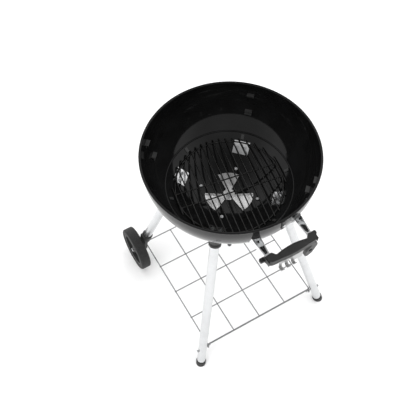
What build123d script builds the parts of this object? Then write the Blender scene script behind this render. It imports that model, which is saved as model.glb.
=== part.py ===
from build123d import *
import math
import os

# A kettle charcoal grill without its lid and cooking grate, in millimetres.
# +Z is up, the bowl's axis is Z, the floor is Z = 0, the handle is towards -Y,
# and the two wheels are on the rear legs, towards +Y.

# ---- driving dimensions -------------------------------------------------------
RIM_HEIGHT = 870.0
BOWL_RADIUS = 282.0
BOWL_WALL = 1.6
BOWL_COLLAR_HEIGHT = 22.0
BOWL_CURVE_DEPTH = 228.0
RIM_ROLL_RADIUS = 4.0
BOWL_TOP_OF_CURVE = RIM_HEIGHT - BOWL_COLLAR_HEIGHT

LEDGE_HEIGHT = 697.0
LEDGE_BEAD_RADIUS = 3.2

VENT_ANGLES = (60.0, 180.0, 300.0)
VENT_INNER_RADIUS = 26.0
VENT_OUTER_RADIUS = 72.0
VENT_HALF_ANGLE = 25.0

LEG_SPREAD = 267.0
LEG_SLOPE = 0.2223
LEG_RADIUS = 16.0
LEG_TUBE_WALL = 1.5
LEG_TOP_HEIGHT = 640.0
REAR_LEG_BOTTOM_HEIGHT = 176.0
FOOT_CAP_RADIUS = 18.5
FOOT_CAP_HEIGHT = 13.0
FOOT_SOLE = 4.0
COLLAR_RADIUS = 20.0
COLLAR_BOTTOM_HEIGHT = 608.0

WHEEL_RADIUS = 87.5
WHEEL_INNER_FACE = 248.0
WHEEL_OUTER_FACE = 288.0
WHEEL_Y = 247.0
TYRE_BORE_RADIUS = 66.0
AXLE_RADIUS = 5.0
RUNNING_CLEARANCE = 0.06

SHELF_HEIGHT = 92.0
SHELF_HALF_X = 226.2
SHELF_HALF_Y = 248.0
SHELF_CELLS = 4
SHELF_WIRE_RADIUS = 2.0
SHELF_EDGE_DROP = 6.5
SHELF_OVERHANG = 3.0
SHELF_PLUG_DEPTH = 5.0
REAR_WIRE_HEIGHT = 97.5

GRATE_HEIGHT = 684.0
GRATE_RADIUS = 188.0
GRATE_BAR_RADIUS = 2.3
GRATE_BAR_PITCH = 21.2
GRATE_BAR_PAIRS = 9
GRATE_RING_RADIUS = 178.7
GRATE_CROSS_OFFSET = 27.0
GRATE_TURN = -9.7

TAB_HEIGHTS = {"lower": 763.0, "upper": 824.0}
SHAFT_RADIUS = 4.0
BLADE_RADIUS = 81.0
BLADE_HALF_ANGLE = 27.5
BLADE_GAP = 0.6
BLADE_THICKNESS = 1.4
LEVER_ANGLE = 240.0
LEVER_HEIGHT = 598.0
LEVER_REACH = 170.0

RAIL_BOLT_OFFSET = 68.8
RAIL_WEB_X = 112.0
RAIL_TOP = 622.0
RAIL_LEDGE_HEIGHT = 570.0
RAIL_HALF_LENGTH = 95.0
RAIL_THICKNESS = 2.0
RAIL_TOP_INNER_X = 56.0
RAIL_LEDGE_WIDTH = 14.0
RAIL_STOP_WIDTH = 30.0
RAIL_STOP_GAP = 0.4
RAIL_STOP_RISE = 18.0
PAN_RADIUS = 94.0
PAN_FLANGE_RADIUS = 107.0
PAN_DEPTH = 44.0
PAN_TAPER = 8.0
PAN_WALL = 1.5

ARM_X = 73.0
ARM_TOP = 819.0
ARM_TIP_Y = -350.0
GRIP_HALF_LENGTH = 84.0
GRIP_INNER_Y = -346.0
GRIP_OUTER_Y = -373.0
GRIP_BULGE = 6.0
GRIP_BOTTOM = 810.0
GRIP_END_TOP = 828.0
GRIP_MIDDLE_TOP = 833.0
GRIP_BLOCK_INNER_Y = -337.0
GRIP_BLOCK_DROP = 12.0
GRIP_BLOCK_WIDTH = 23.0

BOLT_RADIUS = 3.0
HOLE_CLEARANCE = 0.2
NUT_RADIUS = 5.8
NUT_HEIGHT = 5.0
FAR = 400.0

SIDES = {"left": -1, "right": 1}
CORNERS = {
    "front_left": (-1, -1),
    "front_right": (1, -1),
    "rear_left": (-1, 1),
    "rear_right": (1, 1),
}


# ---- the bowl's surface -------------------------------------------------------
def bowl_cavity(shrink):
    """The solid inside a bowl surface that lies `shrink` inside the outer one, open upwards."""
    radius = BOWL_RADIUS - shrink
    depth = BOWL_CURVE_DEPTH - shrink
    top = RIM_HEIGHT + 40.0
    outline = Curve() + [
        EllipticalCenterArc((0, BOWL_TOP_OF_CURVE), radius, depth, 270, arc_size=90),
        Line((radius, BOWL_TOP_OF_CURVE), (radius, top)),
        Line((radius, top), (0, top)),
        Line((0, top), (0, BOWL_TOP_OF_CURVE - depth)),
    ]
    section = make_face(Plane.XZ * outline)
    return revolve(section, Axis.Z)


def bowl_surface_height(radius, shrink=0.0):
    """Height of the bowl's surface at a radius from the axis."""
    across = radius / (BOWL_RADIUS - shrink)
    depth = BOWL_CURVE_DEPTH - shrink
    return BOWL_TOP_OF_CURVE - depth * math.sqrt(1.0 - across * across)


def bowl_surface_radius(height, shrink=0.0):
    """Radius of the bowl's surface at a height."""
    down = max(0.0, (BOWL_TOP_OF_CURVE - height) / (BOWL_CURVE_DEPTH - shrink))
    return (BOWL_RADIUS - shrink) * math.sqrt(1.0 - down * down)


def bowl_plane(radius, angle):
    """A plane on the bowl's outer surface: z outwards along the normal, x around the bowl."""
    height = bowl_surface_height(radius)
    turn = math.radians(angle)
    slope_in = radius / BOWL_RADIUS**2
    slope_up = (height - BOWL_TOP_OF_CURVE) / BOWL_CURVE_DEPTH**2
    outward = Vector(slope_in * math.cos(turn), slope_in * math.sin(turn), slope_up)
    around = Vector(-math.sin(turn), math.cos(turn), 0)
    origin = (radius * math.cos(turn), radius * math.sin(turn), height)
    return Plane(origin=origin, x_dir=around, z_dir=outward)


OUTER_BOWL = bowl_cavity(0.0)
INNER_BOWL = bowl_cavity(BOWL_WALL)


def lining(thickness, start=0.0):
    """A skin inside the bowl's wall, `start` away from it."""
    return bowl_cavity(BOWL_WALL + start) - bowl_cavity(BOWL_WALL + start + thickness)


def covering(thickness):
    """A skin on the outside of the bowl's wall."""
    return bowl_cavity(-thickness) - OUTER_BOWL


# ---- small helpers ------------------------------------------------------------
def rod(plane, radius, start, end):
    """A round rod along a plane's z, from start to end."""
    middle = (start + end) / 2
    return plane * Pos(0, 0, middle) * Cylinder(radius, end - start)


def nut(plane, radius, start, end):
    """A hexagonal prism along a plane's z."""
    return plane * Pos(0, 0, start) * extrude(RegularPolygon(radius, 6), end - start)


def fan(inner, outer, half_angle, angle, bottom, top):
    """An upright prism whose plan is a sector of a ring."""
    first = angle - half_angle
    ring = Circle(outer) - Circle(inner)
    wedge = make_face(
        Polyline(
            (0, 0),
            polar(2 * outer, first),
            polar(2 * outer, angle),
            polar(2 * outer, angle + half_angle),
            close=True,
        )
    )
    return Pos(0, 0, bottom) * extrude(ring & wedge, amount=top - bottom, dir=(0, 0, 1))


def polar(radius, angle):
    turn = math.radians(angle)
    return (radius * math.cos(turn), radius * math.sin(turn))


def prism_yz(points, x_start, x_end):
    """Extrudes a closed outline of (y, z) points along X."""
    face = make_face(Polyline(*[(x_start, y, z) for y, z in points], close=True))
    return extrude(face, amount=x_end - x_start, dir=(1, 0, 0))


def prism_xz(points, y_start, y_end):
    """Extrudes a closed outline of (x, z) points along Y."""
    face = make_face(Polyline(*[(x, y_start, z) for x, z in points], close=True))
    return extrude(face, amount=abs(y_end - y_start), dir=(0, math.copysign(1, y_end - y_start), 0))


def block(x_range, y_range, z_range):
    """A box between three pairs of coordinates, given in any order."""
    size = [abs(b - a) for a, b in (x_range, y_range, z_range)]
    middle = [(a + b) / 2 for a, b in (x_range, y_range, z_range)]
    return Pos(*middle) * Box(*size)


parts = {}


# ---- bolts that pass through the bowl's wall -----------------------------------
LEG_STUD_RADIUS = 168.0
LEG_STUD_SPREAD = 4.6
leg_stud_planes = []
for sx, sy in CORNERS.values():
    diagonal = math.degrees(math.atan2(sy, sx))
    for side in (-1, 1):
        leg_stud_planes.append(bowl_plane(LEG_STUD_RADIUS, diagonal + side * LEG_STUD_SPREAD))

rail_bolt_points = [(sx * RAIL_BOLT_OFFSET, sy * RAIL_BOLT_OFFSET) for sx, sy in CORNERS.values()]

ARM_BOLT_HEIGHTS = (779.0, 804.0)
arm_bolt_planes = []
for side in SIDES.values():
    for height in ARM_BOLT_HEIGHTS:
        wall = bowl_surface_radius(height)
        angle = math.degrees(math.asin(ARM_X / wall))
        arm_bolt_planes.append(bowl_plane(wall, -90 + side * angle))

RIM_TAB_X = 14.0
RIM_TAB_RIVET_HEIGHT = 838.0
rim_tab_radius = bowl_surface_radius(RIM_TAB_RIVET_HEIGHT)
rim_tab_angle = math.degrees(math.asin(RIM_TAB_X / rim_tab_radius))
rim_tab_plane = bowl_plane(rim_tab_radius, -90 + rim_tab_angle)
WALL_SCREW_ANGLE = -54.0
WALL_SCREW_HEIGHT = 763.0
wall_screw_plane = bowl_plane(bowl_surface_radius(WALL_SCREW_HEIGHT), WALL_SCREW_ANGLE)


# ---- bowl ---------------------------------------------------------------------
def make_bowl():
    shell = OUTER_BOWL - INNER_BOWL
    shell -= block((-FAR, FAR), (-FAR, FAR), (RIM_HEIGHT - RIM_ROLL_RADIUS, RIM_HEIGHT + FAR))
    roll = Plane.XZ * Pos(BOWL_RADIUS, RIM_HEIGHT - RIM_ROLL_RADIUS) * Circle(RIM_ROLL_RADIUS)
    ledge_radius = bowl_surface_radius(LEDGE_HEIGHT) - BOWL_WALL / 2
    bead = Plane.XZ * Pos(ledge_radius, LEDGE_HEIGHT) * Circle(LEDGE_BEAD_RADIUS)
    shell += revolve(roll, Axis.Z)
    shell += revolve(bead, Axis.Z)
    for angle in VENT_ANGLES:
        vent = fan(VENT_INNER_RADIUS, VENT_OUTER_RADIUS, VENT_HALF_ANGLE, angle, 600, 660)
        shell -= vent
    hole = BOLT_RADIUS + HOLE_CLEARANCE
    for plane in leg_stud_planes + arm_bolt_planes + [rim_tab_plane, wall_screw_plane]:
        shell -= rod(plane, hole, -8, 4)
    for x, y in rail_bolt_points:
        shell -= Pos(x, y, 640) * Cylinder(hole, 40)
    shell -= Pos(0, 0, 625) * Cylinder(SHAFT_RADIUS + RUNNING_CLEARANCE, 30)
    return shell


parts["bowl"] = make_bowl()


# ---- tabs welded inside the bowl ------------------------------------------------
TAB_WIDTH = 24.0
TAB_REACH = 13.0
TAB_THICKNESS = 2.0
TAB_LIP = 16.0


def make_grate_tab(angle, height):
    """An angle tab: a strip along the wall and a shelf that reaches inwards from its top."""
    wall = bowl_surface_radius(height, BOWL_WALL)
    width = (-TAB_WIDTH / 2, TAB_WIDTH / 2)
    shelf = block((wall - TAB_REACH, wall + 30), width, (height - TAB_THICKNESS, height))
    shelf &= INNER_BOWL
    strip = block((wall - 40, wall + 30), width, (height - TAB_LIP, height))
    strip &= lining(TAB_THICKNESS)
    return Rot(0, 0, angle) * (shelf + strip)


for level, tab_height in TAB_HEIGHTS.items():
    tabs = [make_grate_tab(math.degrees(math.atan2(sy, sx)), tab_height) for sx, sy in CORNERS.values()]
    parts[level + "_grate_tabs"] = Compound(children=tabs)

REST_COUNT = 6
REST_FIRST_ANGLE = 46.0
REST_WIDTH = 10.0
REST_THICKNESS = 2.2
REST_INNER_RADIUS = 190.0
REST_OUTER_RADIUS = 203.0
rest_strip = lining(REST_THICKNESS) & block(
    (REST_INNER_RADIUS, REST_OUTER_RADIUS), (-REST_WIDTH / 2, REST_WIDTH / 2), (640, 720)
)
parts["charcoal_grate_rests"] = Compound(
    children=[Rot(0, 0, REST_FIRST_ANGLE + 60 * number) * rest_strip for number in range(REST_COUNT)]
)


# ---- charcoal grate -------------------------------------------------------------
def make_charcoal_grate():
    lower = GRATE_HEIGHT - 2 * GRATE_BAR_RADIUS + 0.5
    grate = Pos(0, 0, lower) * Torus(GRATE_RING_RADIUS, GRATE_BAR_RADIUS)
    for side in (-1, 1):
        offset = side * GRATE_CROSS_OFFSET
        half = math.sqrt(GRATE_RING_RADIUS**2 - offset**2)
        grate += Pos(0, offset, lower) * Rot(0, 90, 0) * Cylinder(GRATE_BAR_RADIUS, 2 * half)
    for number in range(GRATE_BAR_PAIRS):
        x = (number + 0.5) * GRATE_BAR_PITCH
        half = math.sqrt(GRATE_RADIUS**2 - x**2)
        bar = Rot(90, 0, 0) * Cylinder(GRATE_BAR_RADIUS, 2 * half)
        grate += Pos(x, 0, GRATE_HEIGHT) * bar
        grate += Pos(-x, 0, GRATE_HEIGHT) * bar
    return Rot(0, 0, GRATE_TURN) * grate


parts["charcoal_grate"] = make_charcoal_grate()


# ---- legs -----------------------------------------------------------------------
LEG_STRETCH = math.sqrt(1 + 2 * LEG_SLOPE**2)


def leg_plane(sx, sy):
    """z runs up a leg's axis from the floor."""
    up = Vector(-sx * LEG_SLOPE, -sy * LEG_SLOPE, 1)
    return Plane(origin=(sx * LEG_SPREAD, sy * LEG_SPREAD, 0), x_dir=(1, 0, sx * LEG_SLOPE), z_dir=up)


def leg_rod(sx, sy, radius, low, high):
    """A rod on a leg's axis between two heights above the floor."""
    return rod(leg_plane(sx, sy), radius, low * LEG_STRETCH, high * LEG_STRETCH)


def leg_spot(height):
    """Distance of a leg's axis from X = 0 and from Y = 0 at a height."""
    return LEG_SPREAD - LEG_SLOPE * height


FRONT_SHELF_BOLT_HEIGHT = 75.0
COLLAR_FLANGE_RADIUS = 34.0
COLLAR_FLANGE_BOTTOM = 622.0
COLLAR_FLANGE_TOP = 690.0
STUD_DEPTH = 14.0
PLATE_WIDTH = 54.0
PLATE_LENGTH = 44.0
PLATE_THICKNESS = 2.5


def make_collar(sx, sy):
    cone_length = (COLLAR_FLANGE_TOP - COLLAR_FLANGE_BOTTOM) * LEG_STRETCH
    cone_middle = (COLLAR_FLANGE_TOP + COLLAR_FLANGE_BOTTOM) / 2 * LEG_STRETCH
    collar = leg_rod(sx, sy, COLLAR_RADIUS, COLLAR_BOTTOM_HEIGHT, COLLAR_FLANGE_TOP)
    collar += leg_rod(sx, sy, COLLAR_RADIUS + 1.5, COLLAR_BOTTOM_HEIGHT, COLLAR_BOTTOM_HEIGHT + 8)
    flange = Cone(COLLAR_RADIUS, COLLAR_FLANGE_RADIUS + 6, cone_length)
    collar += leg_plane(sx, sy) * Pos(0, 0, cone_middle) * flange
    collar -= OUTER_BOWL
    collar -= leg_rod(sx, sy, LEG_RADIUS, COLLAR_BOTTOM_HEIGHT - 20, LEG_TOP_HEIGHT)
    return collar


for corner, (sx, sy) in CORNERS.items():
    front = sy < 0
    bottom = FOOT_SOLE if front else REAR_LEG_BOTTOM_HEIGHT
    tube = leg_rod(sx, sy, LEG_RADIUS, bottom, LEG_TOP_HEIGHT)
    tube -= leg_rod(sx, sy, LEG_RADIUS - LEG_TUBE_WALL, bottom - 20, LEG_TOP_HEIGHT + 20)
    if front:
        tube -= block((-FAR, FAR), (-FAR, FAR), (-50, FOOT_SOLE))
        spot = leg_spot(FRONT_SHELF_BOLT_HEIGHT)
        shelf_hole = Rot(0, 90, 0) * Cylinder(BOLT_RADIUS + HOLE_CLEARANCE, 60)
        tube -= Pos(sx * spot, sy * SHELF_HALF_Y, FRONT_SHELF_BOLT_HEIGHT) * shelf_hole
        cap = leg_rod(sx, sy, FOOT_CAP_RADIUS, -20, FOOT_CAP_HEIGHT)
        cap -= block((-FAR, FAR), (-FAR, FAR), (-60, 0))
        above_sole = leg_rod(sx, sy, LEG_RADIUS, -20, 60) & block((-FAR, FAR), (-FAR, FAR), (FOOT_SOLE, 60))
        cap -= above_sole
        parts["foot_cap_" + corner] = cap
    parts["leg_" + corner] = tube

    collar = make_collar(sx, sy)
    plate_plane = bowl_plane(LEG_STUD_RADIUS, math.degrees(math.atan2(sy, sx)))
    plate = lining(PLATE_THICKNESS) & (plate_plane * Box(PLATE_WIDTH, PLATE_LENGTH, 30))
    for plane in leg_stud_planes:
        collar -= rod(plane, BOLT_RADIUS, -5, STUD_DEPTH)
        plate -= rod(plane, BOLT_RADIUS + HOLE_CLEARANCE, -20, 5)
    parts["leg_collar_" + corner] = collar
    parts["leg_plate_" + corner] = plate

stud_end = -(BOWL_WALL + PLATE_THICKNESS + NUT_HEIGHT + 3)
nut_seat = -(BOWL_WALL + PLATE_THICKNESS)
parts["leg_plate_studs"] = Compound(
    children=[rod(plane, BOLT_RADIUS, stud_end, STUD_DEPTH) for plane in leg_stud_planes]
)
plate_inside = bowl_cavity(BOWL_WALL + PLATE_THICKNESS)
parts["leg_plate_nuts"] = Compound(
    children=[
        (nut(plane, NUT_RADIUS, nut_seat - NUT_HEIGHT, nut_seat + 2) & plate_inside)
        - rod(plane, BOLT_RADIUS, -30, 5)
        for plane in leg_stud_planes
    ]
)


# ---- wheels and the carriers that join them to the rear legs ----------------------
CARRIER_OUTER_FACE = 243.0
CARRIER_INNER_FACE = 231.0
CARRIER_RADIUS = 20.0
CARRIER_TOP = 200.0
CARRIER_NECK = 162.0
HUB_BOSS_RADIUS = 14.0
HUB_RIM_THICKNESS = 6.0
HUB_INNER_FACE = 252.0
HUB_OUTER_FACE = 284.0
SPOKE_THICKNESS = 18.0
SPOKES = 5
SPOKE_WIDTH = 13.0
TYRE_SHOULDER = 7.0
BOLT_HEAD_RADIUS = 9.0
HUB_BOSS_OUTER_FACE = 279.0
WASHER_RADIUS = 9.5
OUTER_WASHER_START = 279.6
OUTER_WASHER_END = 281.4
AXLE_HEAD_HEIGHT = 6.0


def along_x(x_start, x_end, radius, y, z, side):
    """A rod along X on one side of the grill."""
    middle = side * (x_start + x_end) / 2
    return Pos(middle, y, z) * Rot(0, 90, 0) * Cylinder(radius, abs(x_end - x_start))


def make_carrier(side):
    neck_spot = leg_spot(CARRIER_TOP - 25)
    neck = Pos(neck_spot, CARRIER_TOP - 25) * Circle(CARRIER_RADIUS - 1)
    foot = Pos(WHEEL_Y, WHEEL_RADIUS) * Circle(CARRIER_RADIUS)
    outline = make_hull(neck.edges() + foot.edges())
    cheek = extrude(Plane.YZ * outline, CARRIER_OUTER_FACE - CARRIER_INNER_FACE)
    cheek = Pos(CARRIER_INNER_FACE if side > 0 else -CARRIER_OUTER_FACE, 0, 0) * cheek
    sleeve = leg_rod(side, 1, COLLAR_RADIUS, CARRIER_NECK, CARRIER_TOP)
    x_limit = block((0, side * CARRIER_OUTER_FACE), (0, FAR), (0, FAR))
    carrier = cheek + (sleeve & x_limit)
    carrier -= leg_rod(side, 1, LEG_RADIUS, REAR_LEG_BOTTOM_HEIGHT, CARRIER_TOP + 30)
    carrier -= along_x(200, 260, AXLE_RADIUS, WHEEL_Y, WHEEL_RADIUS, side)
    socket_end = CARRIER_INNER_FACE + SHELF_PLUG_DEPTH
    carrier -= along_x(200, socket_end, SHELF_WIRE_RADIUS, SHELF_HALF_Y, REAR_WIRE_HEIGHT, side)
    return carrier


def make_hub():
    """A wheel's hub about the Z axis: rim, spokes and boss. Z = 0 is the wheel's inner face."""
    low = HUB_INNER_FACE - WHEEL_INNER_FACE
    high = HUB_OUTER_FACE - WHEEL_INNER_FACE
    middle = (low + high) / 2
    rim = Pos(0, 0, middle) * (
        Cylinder(TYRE_BORE_RADIUS, high - low) - Cylinder(TYRE_BORE_RADIUS - HUB_RIM_THICKNESS, high - low)
    )
    boss_high = HUB_BOSS_OUTER_FACE - WHEEL_INNER_FACE
    boss = Pos(0, 0, (0.5 + boss_high) / 2) * Cylinder(HUB_BOSS_RADIUS, boss_high - 0.5)
    hub = rim + boss
    for number in range(SPOKES):
        spoke = Box(TYRE_BORE_RADIUS - 4, SPOKE_WIDTH, SPOKE_THICKNESS)
        spoke = Pos(TYRE_BORE_RADIUS / 2, 0, middle) * spoke
        hub += Rot(0, 0, number * 360 / SPOKES) * spoke
    hub -= Pos(0, 0, middle) * Cylinder(AXLE_RADIUS + RUNNING_CLEARANCE, 80)
    return hub


def make_tyre():
    """A wheel's tyre about the Z axis, with rounded shoulders."""
    width = WHEEL_OUTER_FACE - WHEEL_INNER_FACE
    corner = TYRE_SHOULDER
    section = make_face(
        Polyline((TYRE_BORE_RADIUS, 0), (WHEEL_RADIUS - corner, 0))
        + ThreePointArc(
            (WHEEL_RADIUS - corner, 0),
            (WHEEL_RADIUS - 0.293 * corner, 0.293 * corner),
            (WHEEL_RADIUS, corner),
        )
        + Line((WHEEL_RADIUS, corner), (WHEEL_RADIUS, width - corner))
        + ThreePointArc(
            (WHEEL_RADIUS, width - corner),
            (WHEEL_RADIUS - 0.293 * corner, width - 0.293 * corner),
            (WHEEL_RADIUS - corner, width),
        )
        + Polyline((WHEEL_RADIUS - corner, width), (TYRE_BORE_RADIUS, width), (TYRE_BORE_RADIUS, 0))
    )
    return revolve(Plane.XZ * section, Axis.Z)


hub_shape = make_hub()
tyre_shape = make_tyre()
washers = []
for side_name, side in SIDES.items():
    wheel_plane = Plane(
        origin=(side * WHEEL_INNER_FACE, WHEEL_Y, WHEEL_RADIUS), x_dir=(0, 1, 0), z_dir=(side, 0, 0)
    )
    parts["wheel_hub_" + side_name] = wheel_plane * hub_shape
    parts["wheel_tyre_" + side_name] = wheel_plane * tyre_shape
    parts["axle_carrier_" + side_name] = make_carrier(side)
    axle = along_x(CARRIER_INNER_FACE, OUTER_WASHER_END, AXLE_RADIUS, WHEEL_Y, WHEEL_RADIUS, side)
    head_start = OUTER_WASHER_END - WHEEL_INNER_FACE
    head = nut(wheel_plane, BOLT_HEAD_RADIUS, head_start, head_start + AXLE_HEAD_HEIGHT)
    parts["axle_bolt_" + side_name] = axle + head
    inner_washer = (CARRIER_OUTER_FACE, WHEEL_INNER_FACE)
    outer_washer = (OUTER_WASHER_START, OUTER_WASHER_END)
    for x_start, x_end in (inner_washer, outer_washer):
        washer = along_x(x_start, x_end, WASHER_RADIUS, WHEEL_Y, WHEEL_RADIUS, side)
        washers.append(washer - along_x(200, 300, AXLE_RADIUS, WHEEL_Y, WHEEL_RADIUS, side))
parts["axle_washers"] = Compound(children=washers)


# ---- wire shelf -------------------------------------------------------------------
EYELET_RADIUS = 8.0
EYELET_THICKNESS = 4.0


def make_wire_shelf():
    """A grid of wires. Its rear wire plugs into the carriers; its front corners have eyelets."""
    step_x = 2 * SHELF_HALF_X / SHELF_CELLS
    step_y = 2 * SHELF_HALF_Y / SHELF_CELLS
    upper = SHELF_HEIGHT + SHELF_WIRE_RADIUS
    lower = SHELF_HEIGHT - SHELF_WIRE_RADIUS + 0.5
    lengthwise = Rot(90, 0, 0) * Cylinder(SHELF_WIRE_RADIUS, 2 * SHELF_HALF_Y)
    shelf = Part()
    for number in range(SHELF_CELLS + 1):
        shelf += Pos(-SHELF_HALF_X + number * step_x, 0, upper) * lengthwise
    for number in range(SHELF_CELLS):
        overhang = 0 if number == 0 else SHELF_OVERHANG
        crosswise = Rot(0, 90, 0) * Cylinder(SHELF_WIRE_RADIUS, 2 * (SHELF_HALF_X + overhang))
        shelf += Pos(0, -SHELF_HALF_Y + number * step_y, lower) * crosswise
    second_front_wire = Rot(0, 90, 0) * Cylinder(SHELF_WIRE_RADIUS, 2 * SHELF_HALF_X)
    shelf += Pos(0, -SHELF_HALF_Y, lower - SHELF_EDGE_DROP) * second_front_wire
    rear_wire = Rot(0, 90, 0) * Cylinder(SHELF_WIRE_RADIUS, 2 * (CARRIER_INNER_FACE + SHELF_PLUG_DEPTH))
    shelf += Pos(0, SHELF_HALF_Y, REAR_WIRE_HEIGHT) * rear_wire
    for side in SIDES.values():
        x_start = SHELF_HALF_X - EYELET_THICKNESS / 2
        x_end = SHELF_HALF_X + EYELET_THICKNESS / 2
        height = FRONT_SHELF_BOLT_HEIGHT
        shelf += along_x(x_start, x_end, EYELET_RADIUS, -SHELF_HALF_Y, height, side)
        post_bottom = height + BOLT_RADIUS + 1
        post = Cylinder(SHELF_WIRE_RADIUS, upper - post_bottom)
        shelf += Pos(side * SHELF_HALF_X, -SHELF_HALF_Y, (upper + post_bottom) / 2) * post
        shelf -= along_x(200, 260, BOLT_RADIUS + HOLE_CLEARANCE, -SHELF_HALF_Y, height, side)
    return shelf


parts["wire_shelf"] = make_wire_shelf()

SHELF_BOLT_START = 215.0
SHELF_NUT_START = 218.3
SHELF_NUT_END = 223.4
SMALL_HEAD_RADIUS = 5.5
shelf_bolts = []
shelf_nuts = []
LEG_OUTER_AT_BOLT = leg_spot(FRONT_SHELF_BOLT_HEIGHT) + LEG_RADIUS * LEG_STRETCH
for side in SIDES.values():
    bolt_plane = Plane(
        origin=(0, -SHELF_HALF_Y, FRONT_SHELF_BOLT_HEIGHT), x_dir=(0, 1, 0), z_dir=(side, 0, 0)
    )
    shank = rod(bolt_plane, BOLT_RADIUS, SHELF_BOLT_START, LEG_OUTER_AT_BOLT + 2)
    head = rod(bolt_plane, SMALL_HEAD_RADIUS, LEG_OUTER_AT_BOLT + 1.4, LEG_OUTER_AT_BOLT + 5)
    shelf_bolts.append(shank + head)
    inner_nut = nut(bolt_plane, NUT_RADIUS, SHELF_NUT_START, SHELF_NUT_END)
    shelf_nuts.append(inner_nut - rod(bolt_plane, BOLT_RADIUS, 210, 240))
parts["shelf_bolts"] = Compound(children=shelf_bolts)
parts["shelf_nuts"] = Compound(children=shelf_nuts)


# ---- ash sweeper, its shaft and its lever --------------------------------------------
HUB_PLATE_RADIUS = 21.0
LIP_HEIGHT = 5.0
LIP_THICKNESS = 1.4
SHAFT_BOTTOM = 588.0


def make_sweeper():
    skin = lining(BLADE_THICKNESS, BLADE_GAP)
    lip_skin = lining(BLADE_THICKNESS + LIP_HEIGHT, BLADE_GAP)
    sweeper = skin & (Pos(0, 0, 640) * Cylinder(HUB_PLATE_RADIUS, 60))
    for angle in VENT_ANGLES:
        sweeper += skin & fan(HUB_PLATE_RADIUS - 6, BLADE_RADIUS, BLADE_HALF_ANGLE, angle, 610, 670)
        for side in (-1, 1):
            edge = block((24, BLADE_RADIUS - 1), (-LIP_THICKNESS / 2, LIP_THICKNESS / 2), (610, 670))
            edge = Pos(0, -side * LIP_THICKNESS / 2, 0) * edge
            sweeper += lip_skin & (Rot(0, 0, angle + side * BLADE_HALF_ANGLE) * edge)
    sweeper -= Pos(0, 0, 640) * Cylinder(SHAFT_RADIUS, 80)
    return sweeper


parts["ash_sweeper"] = make_sweeper()
bowl_floor = bowl_surface_height(0, BOWL_WALL)
plate_top = bowl_floor + BLADE_GAP + BLADE_THICKNESS
parts["sweeper_shaft"] = rod(Plane.XY, SHAFT_RADIUS, SHAFT_BOTTOM, plate_top + 8)
dome_nut = nut(Plane.XY, 9.0, plate_top, plate_top + 6) & bowl_cavity(BOWL_WALL + BLADE_GAP + BLADE_THICKNESS)
dome_nut += rod(Plane.XY, 7.5, plate_top + 6, plate_top + 11)
dome_nut -= rod(Plane.XY, SHAFT_RADIUS, 600, plate_top + 8)
lever_nut = nut(Plane.XY, 7.5, LEVER_HEIGHT - 6, LEVER_HEIGHT) - rod(Plane.XY, SHAFT_RADIUS, 580, 620)
parts["sweeper_nuts"] = Compound(children=[dome_nut, lever_nut])

LEVER_WIDTH = 16.0
LEVER_THICKNESS = 3.0
KNOB_RADIUS = 7.0
KNOB_LENGTH = 20.0
KNOB_STUD_RADIUS = 2.5
lever_hub = rod(Plane.XY, 12.0, LEVER_HEIGHT, LEVER_HEIGHT + 14)
lever_top = LEVER_HEIGHT + LEVER_THICKNESS
knob_spot = Plane(origin=(LEVER_REACH - 4, 0, 0))
lever_strip = block(
    (0, LEVER_REACH - 4), (-LEVER_WIDTH / 2, LEVER_WIDTH / 2), (LEVER_HEIGHT, lever_top)
)
lever_strip += rod(knob_spot, LEVER_WIDTH / 2, LEVER_HEIGHT, lever_top)
lever = lever_hub + lever_strip - rod(Plane.XY, SHAFT_RADIUS, 580, 640)
lever -= rod(knob_spot, KNOB_STUD_RADIUS, LEVER_HEIGHT - 10, lever_top + 10)
parts["vent_lever"] = Rot(0, 0, LEVER_ANGLE) * lever
knob = rod(Plane.XY, KNOB_RADIUS, LEVER_HEIGHT - KNOB_LENGTH, LEVER_HEIGHT)
knob = fillet(knob.edges(), 2.0)
knob += rod(Plane.XY, KNOB_STUD_RADIUS, LEVER_HEIGHT - 4, lever_top)
parts["vent_lever_knob"] = Rot(0, 0, LEVER_ANGLE) * Pos(LEVER_REACH - 4, 0, 0) * knob


# ---- ash pan and its rails -------------------------------------------------------------
def make_rail(side):
    """A channel that carries one edge of the ash pan, with a stop behind the pan."""
    along = (-RAIL_HALF_LENGTH, RAIL_HALF_LENGTH)
    ledge_bottom = RAIL_LEDGE_HEIGHT - RAIL_THICKNESS
    stop_x = RAIL_WEB_X - RAIL_STOP_WIDTH
    stop_y = math.sqrt(PAN_FLANGE_RADIUS**2 - stop_x**2) + RAIL_STOP_GAP
    rail = block((RAIL_TOP_INNER_X, RAIL_WEB_X), along, (RAIL_TOP - RAIL_THICKNESS, RAIL_TOP))
    rail += block((RAIL_WEB_X - RAIL_THICKNESS, RAIL_WEB_X), along, (ledge_bottom, RAIL_TOP))
    rail += block((RAIL_WEB_X - RAIL_LEDGE_WIDTH, RAIL_WEB_X), along, (ledge_bottom, RAIL_LEDGE_HEIGHT))
    stop_heights = (ledge_bottom, RAIL_LEDGE_HEIGHT + RAIL_STOP_RISE)
    rail += block((stop_x, RAIL_WEB_X), (stop_y, stop_y + RAIL_THICKNESS), stop_heights)
    for y in (-RAIL_BOLT_OFFSET, RAIL_BOLT_OFFSET):
        rail -= Pos(RAIL_BOLT_OFFSET, y, RAIL_TOP) * Cylinder(BOLT_RADIUS + HOLE_CLEARANCE, 20)
    return rail if side > 0 else mirror(rail, Plane.YZ)


for side_name, side in SIDES.items():
    parts["pan_rail_" + side_name] = make_rail(side)

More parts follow.
